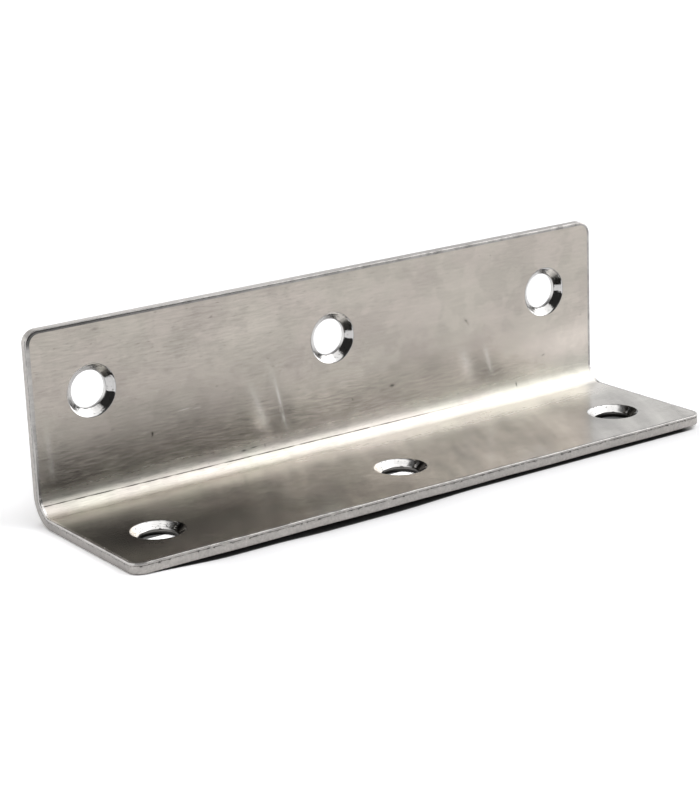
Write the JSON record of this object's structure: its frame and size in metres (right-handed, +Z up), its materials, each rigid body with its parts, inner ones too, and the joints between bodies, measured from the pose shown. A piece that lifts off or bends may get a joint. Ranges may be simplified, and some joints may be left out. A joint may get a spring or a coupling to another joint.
{
  "type": "angle bracket",
  "caption": "Long right-angle bracket folded from stainless steel sheet, with a row of countersunk screw holes in each leg.",
  "frame": {"origin": "middle of the footprint, on the surface that the base leg rests on", "axes": "+X along the fold, +Y towards the outer face of the upright leg, +Z up along the upright leg"},
  "size_m": [0.09, 0.025, 0.025],
  "materials": {
    "brushed_stainless": "brushed along the fold, turned countersinks, sheared edges"
  },
  "bodies": {
    "root": {"angle_bracket": "brushed_stainless"}
  },
  "joints": []
}
